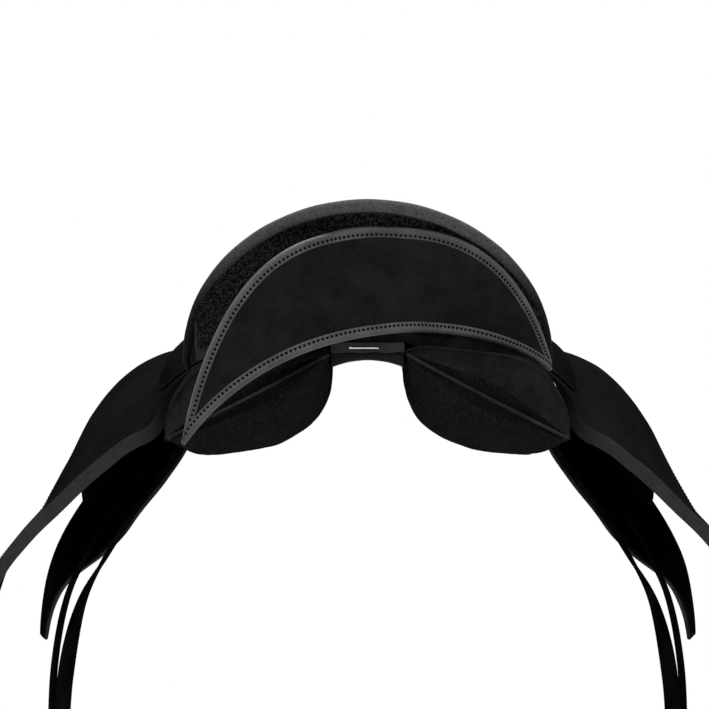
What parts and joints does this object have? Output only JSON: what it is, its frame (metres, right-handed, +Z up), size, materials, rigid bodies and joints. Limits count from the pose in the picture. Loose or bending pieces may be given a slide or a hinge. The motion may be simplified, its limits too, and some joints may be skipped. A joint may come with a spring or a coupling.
{
  "type": "all-purpose saddle",
  "caption": "Black synthetic all-purpose riding saddle with a deep seat, rolled cantle rim, gusseted panels, skirts, flaps and girth straps, and a half-peeled hook-and-loop cantle flap.",
  "frame": {"origin": "on the median plane, midway along the panels, at the level of their bearing faces", "axes": "+X to the saddle's right (off) side, +Y forward to the pommel, +Z up"},
  "size_m": [0.7486, 0.5004, 0.4862],
  "materials": {
    "foam": "soft foam",
    "leather": "satin synthetic leather",
    "loop": "brushed loop pile",
    "piping": "satin binding",
    "polymer": "moulded",
    "rim": "soft satin synthetic leather",
    "steel": "satin",
    "suede": "matt micro suede",
    "webbing": "woven webbing"
  },
  "bodies": {
    "saddle": {"bar_rivet_front_left": "steel", "bar_rivet_front_right": "steel", "bar_rivet_rear_left": "steel", "bar_rivet_rear_right": "steel", "cantle_facing": "leather", "cantle_flap_root": "suede", "cantle_flap_root_lower_binding": "piping", "cantle_flap_root_upper_binding": "piping", "cantle_loop_pad": "loop", "cantle_rim": "rim", "crupper_staple": "steel", "dee_chape_left": "leather", "dee_chape_right": "leather", "flap_root_left": "suede", "flap_root_right": "suede", "girth_web_front_left": "webbing", "girth_web_front_right": "webbing", "girth_web_rear_left": "webbing", "girth_web_rear_right": "webbing", "gullet_lining": "leather", "head_plate": "steel", "head_plate_screw_left": "steel", "head_plate_screw_right": "steel", "knee_block_left": "foam", "knee_block_right": "foam", "panel_bridge": "leather", "panel_left": "suede", "panel_right": "suede", "panel_seam_left": "piping", "panel_seam_right": "piping", "pommel_facing": "leather", "saddle_nail_left": "steel", "saddle_nail_right": "steel", "seat_cover": "suede", "seat_foam": "foam", "skirt_root_left": "suede", "skirt_root_right": "suede", "stirrup_bar_left": "steel", "stirrup_bar_right": "steel", "sweat_flap_left": "leather", "sweat_flap_right": "leather", "tree": "polymer", "tree_webbing": "webbing"},
    "cantle_flap_body": {"cantle_flap": "suede", "cantle_flap_upper_binding": "piping", "cantle_flap_lower_binding": "piping", "cantle_hook_strip": "loop"},
    "flap_right_body": {"flap_right": "suede"},
    "skirt_right_body": {"skirt_right": "suede"},
    "girth_strap_front_right_body": {"girth_strap_front_right": "leather"},
    "girth_strap_rear_right_body": {"girth_strap_rear_right": "leather"},
    "stirrup_bar_catch_right_body": {"stirrup_bar_catch_right": "steel"},
    "dee_right_body": {"dee_right": "steel"},
    "flap_left_body": {"flap_left": "suede"},
    "skirt_left_body": {"skirt_left": "suede"},
    "girth_strap_front_left_body": {"girth_strap_front_left": "leather"},
    "girth_strap_rear_left_body": {"girth_strap_rear_left": "leather"},
    "stirrup_bar_catch_left_body": {"stirrup_bar_catch_left": "steel"},
    "dee_left_body": {"dee_left": "steel"}
  },
  "joints": [
    {"name": "cantle_flap_peel", "type": "hinge", "parent": "saddle", "child": "cantle_flap_body", "pos_m": [0.03216, -0.21783, 0.14246], "axis": [-0.6789, -0.3434, 0.649], "range_deg": [-24, 60]},
    {"name": "flap_lift_right", "type": "hinge", "parent": "saddle", "child": "flap_right_body", "pos_m": [0.22836, 0.07827, 0.04357], "axis": [-0.12, -0.9712, -0.2056], "range_deg": [0, 75]},
    {"name": "skirt_lift_right", "type": "hinge", "parent": "saddle", "child": "skirt_right_body", "pos_m": [0.10943, 0.07843, 0.12309], "axis": [0.0339, -0.9976, -0.0609], "range_deg": [0, 60]},
    {"name": "strap_swing_front_right", "type": "hinge", "parent": "saddle", "child": "girth_strap_front_right_body", "pos_m": [0.16933, 0.02197, 0.0506], "axis": [0.8956, -0.3006, 0.328], "range_deg": [-5, 3]},
    {"name": "strap_swing_rear_right", "type": "hinge", "parent": "saddle", "child": "girth_strap_rear_right_body", "pos_m": [0.16629, -0.04805, 0.04811], "axis": [0.9093, -0.3031, 0.2851], "range_deg": [-10, 3]},
    {"name": "catch_turn_right", "type": "hinge", "parent": "saddle", "child": "stirrup_bar_catch_right_body", "pos_m": [0.12248, 0.03481, 0.10738], "axis": [-0.9725, -0.053, 0.2268], "range_deg": [0, 38]},
    {"name": "dee_swing_right", "type": "hinge", "parent": "saddle", "child": "dee_right_body", "pos_m": [0.11491, 0.18152, 0.10734], "axis": [0, -1, 0], "range_deg": [0, 100]},
    {"name": "flap_lift_left", "type": "hinge", "parent": "saddle", "child": "flap_left_body", "pos_m": [-0.22836, 0.07827, 0.04357], "axis": [-0.12, 0.9712, 0.2056], "range_deg": [0, 75]},
    {"name": "skirt_lift_left", "type": "hinge", "parent": "saddle", "child": "skirt_left_body", "pos_m": [-0.10943, 0.07843, 0.12309], "axis": [0.0339, 0.9976, 0.0609], "range_deg": [0, 60]},
    {"name": "strap_swing_front_left", "type": "hinge", "parent": "saddle", "child": "girth_strap_front_left_body", "pos_m": [-0.16933, 0.02197, 0.0506], "axis": [0.8956, 0.3006, -0.328], "range_deg": [-5, 3]},
    {"name": "strap_swing_rear_left", "type": "hinge", "parent": "saddle", "child": "girth_strap_rear_left_body", "pos_m": [-0.16629, -0.04805, 0.04811], "axis": [0.9093, 0.3031, -0.2851], "range_deg": [-10, 3]},
    {"name": "catch_turn_left", "type": "hinge", "parent": "saddle", "child": "stirrup_bar_catch_left_body", "pos_m": [-0.12248, 0.03481, 0.10738], "axis": [-0.9725, 0.053, -0.2268], "range_deg": [0, 38]},
    {"name": "dee_swing_left", "type": "hinge", "parent": "saddle", "child": "dee_left_body", "pos_m": [-0.11491, 0.18152, 0.10734], "axis": [0, 1, 0], "range_deg": [0, 100]}
  ]
}
